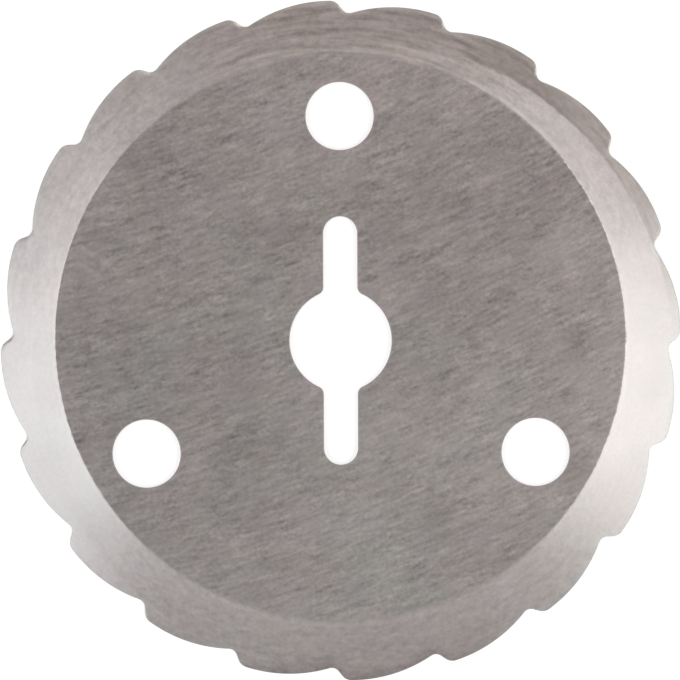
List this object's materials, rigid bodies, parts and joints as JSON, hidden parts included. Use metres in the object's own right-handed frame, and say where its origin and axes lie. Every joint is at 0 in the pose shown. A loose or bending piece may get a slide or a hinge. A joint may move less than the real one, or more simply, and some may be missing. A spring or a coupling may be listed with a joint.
{
  "type": "slicing disc",
  "caption": "Round flat slicing blade with a toothed rim bevelled on one side, a central bore with a driving slot, and round pin holes.",
  "frame": {"origin": "on the axis of the spindle bore, in the plane of the flat back that the disc lies on", "axes": "+Z along the bore, out of the ground side; +Y along the driving slot, towards the pin hole in line with it; +X to the right of +Y as seen from the ground side"},
  "size_m": [0.1, 0.1, 0.0015],
  "materials": {
    "ground_steel": "cross-ground satin on the flat faces, finer and brighter grind lines round the bevel"
  },
  "bodies": {
    "root": {"slicing_disc": "ground_steel"}
  },
  "joints": []
}
